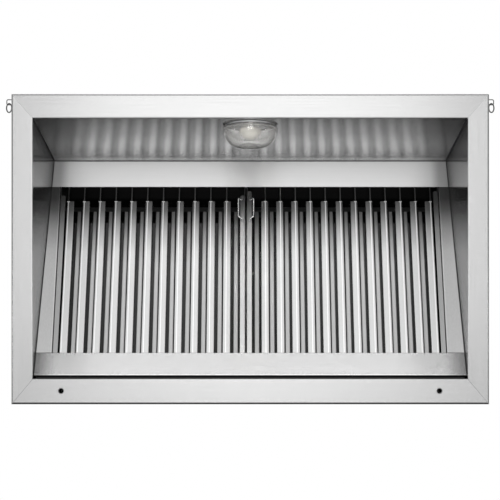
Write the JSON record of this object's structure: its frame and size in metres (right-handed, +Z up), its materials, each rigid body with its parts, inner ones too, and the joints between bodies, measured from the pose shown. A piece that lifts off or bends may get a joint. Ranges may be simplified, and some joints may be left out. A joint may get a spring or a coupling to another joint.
{
  "type": "commercial canopy hood",
  "caption": "Double-walled stainless canopy hood with a sloping bank of lift-out baffle filters, a grease trough, a round exhaust collar and a sealed light.",
  "frame": {"origin": "centre of the mouth, in the plane of the rim's underside", "axes": "+Z up towards the exhaust collar, +Y towards the wall, +X to the right seen from the front"},
  "size_m": [1.2556, 0.792, 0.6896],
  "materials": {
    "brushed_stainless": "long-grain brushed stainless sheet",
    "inner_stainless": "mill-finish stainless sheet in shade",
    "filter_steel": "bright rolled stainless",
    "bright_wire": "bright drawn stainless wire",
    "galvanised": "galvanised steel",
    "cast_aluminium": "cast aluminium",
    "seal": "flat rubber seal",
    "clear_glass": "clear pressed glass",
    "frosted_glass": "frosted bulb glass",
    "ceramic": "glazed ceramic"
  },
  "bodies": {
    "hood": {"outer_front_panel": "brushed_stainless", "outer_rear_panel": "brushed_stainless", "outer_left_panel": "brushed_stainless", "outer_right_panel": "brushed_stainless", "top_panel": "brushed_stainless", "front_rim": "brushed_stainless", "rear_rim": "brushed_stainless", "left_rim": "brushed_stainless", "right_rim": "brushed_stainless", "front_liner": "brushed_stainless", "left_liner": "brushed_stainless", "right_liner": "brushed_stainless", "top_filter_rail": "brushed_stainless", "top_filter_guide": "inner_stainless", "bottom_filter_rail": "brushed_stainless", "filter_shelf": "inner_stainless", "filter_divider": "inner_stainless", "grease_trough": "inner_stainless", "left_drain_spout": "inner_stainless", "right_drain_spout": "inner_stainless", "left_filler": "brushed_stainless", "right_filler": "brushed_stainless", "exhaust_collar": "brushed_stainless", "hanger_bracket_front_left": "brushed_stainless", "hanger_bracket_front_right": "brushed_stainless", "hanger_bracket_rear_left": "brushed_stainless", "hanger_bracket_rear_right": "brushed_stainless", "light_housing": "cast_aluminium", "light_gasket": "seal", "lamp_socket": "ceramic", "light_bulb": "frosted_glass", "light_conduit": "galvanised", "junction_box": "galvanised", "junction_box_cover": "galvanised", "left_staple": "bright_wire", "right_staple": "bright_wire"},
    "left_filter": {"left_filter_frame": "filter_steel", "left_filter_tie_bars": "filter_steel", "left_front_baffles": "filter_steel", "left_rear_baffles": "filter_steel", "left_handle_clips": "bright_wire"},
    "left_handle": {"left_filter_handle": "bright_wire"},
    "left_ring": {"left_ring": "bright_wire"},
    "right_filter": {"right_filter_frame": "filter_steel", "right_filter_tie_bars": "filter_steel", "right_front_baffles": "filter_steel", "right_rear_baffles": "filter_steel", "right_handle_clips": "bright_wire"},
    "right_handle": {"right_filter_handle": "bright_wire"},
    "right_ring": {"right_ring": "bright_wire"},
    "globe": {"light_globe": "clear_glass"}
  },
  "joints": [
    {"name": "left_filter_lift", "type": "slide", "parent": "hood", "child": "left_filter", "axis": [0, -0.7071, 0.7071], "range_m": [0, 0.022]},
    {"name": "left_handle_swing", "type": "hinge", "parent": "left_filter", "child": "left_handle", "pos_m": [-0.0205, -0.10578, 0.43906], "axis": [0, -0.7071, 0.7071], "range_deg": [-36, 70]},
    {"name": "left_ring_swing", "type": "hinge", "parent": "hood", "child": "left_ring", "pos_m": [-0.619, -0.3703, 0.05], "axis": [1, 0, 0], "range_deg": [-100, 30]},
    {"name": "right_filter_lift", "type": "slide", "parent": "hood", "child": "right_filter", "axis": [0, -0.7071, 0.7071], "range_m": [0, 0.022]},
    {"name": "right_handle_swing", "type": "hinge", "parent": "right_filter", "child": "right_handle", "pos_m": [-0.002, -0.10578, 0.43906], "axis": [0, 0.7071, -0.7071], "range_deg": [-36, 70]},
    {"name": "right_ring_swing", "type": "hinge", "parent": "hood", "child": "right_ring", "pos_m": [0.619, -0.3703, 0.05], "axis": [1, 0, 0], "range_deg": [-100, 30]},
    {"name": "globe_turn", "type": "hinge", "parent": "hood", "child": "globe", "pos_m": [0, -0.32137, 0.088], "axis": [0, 0.9865, -0.164], "range_deg": [0, 350]}
  ]
}
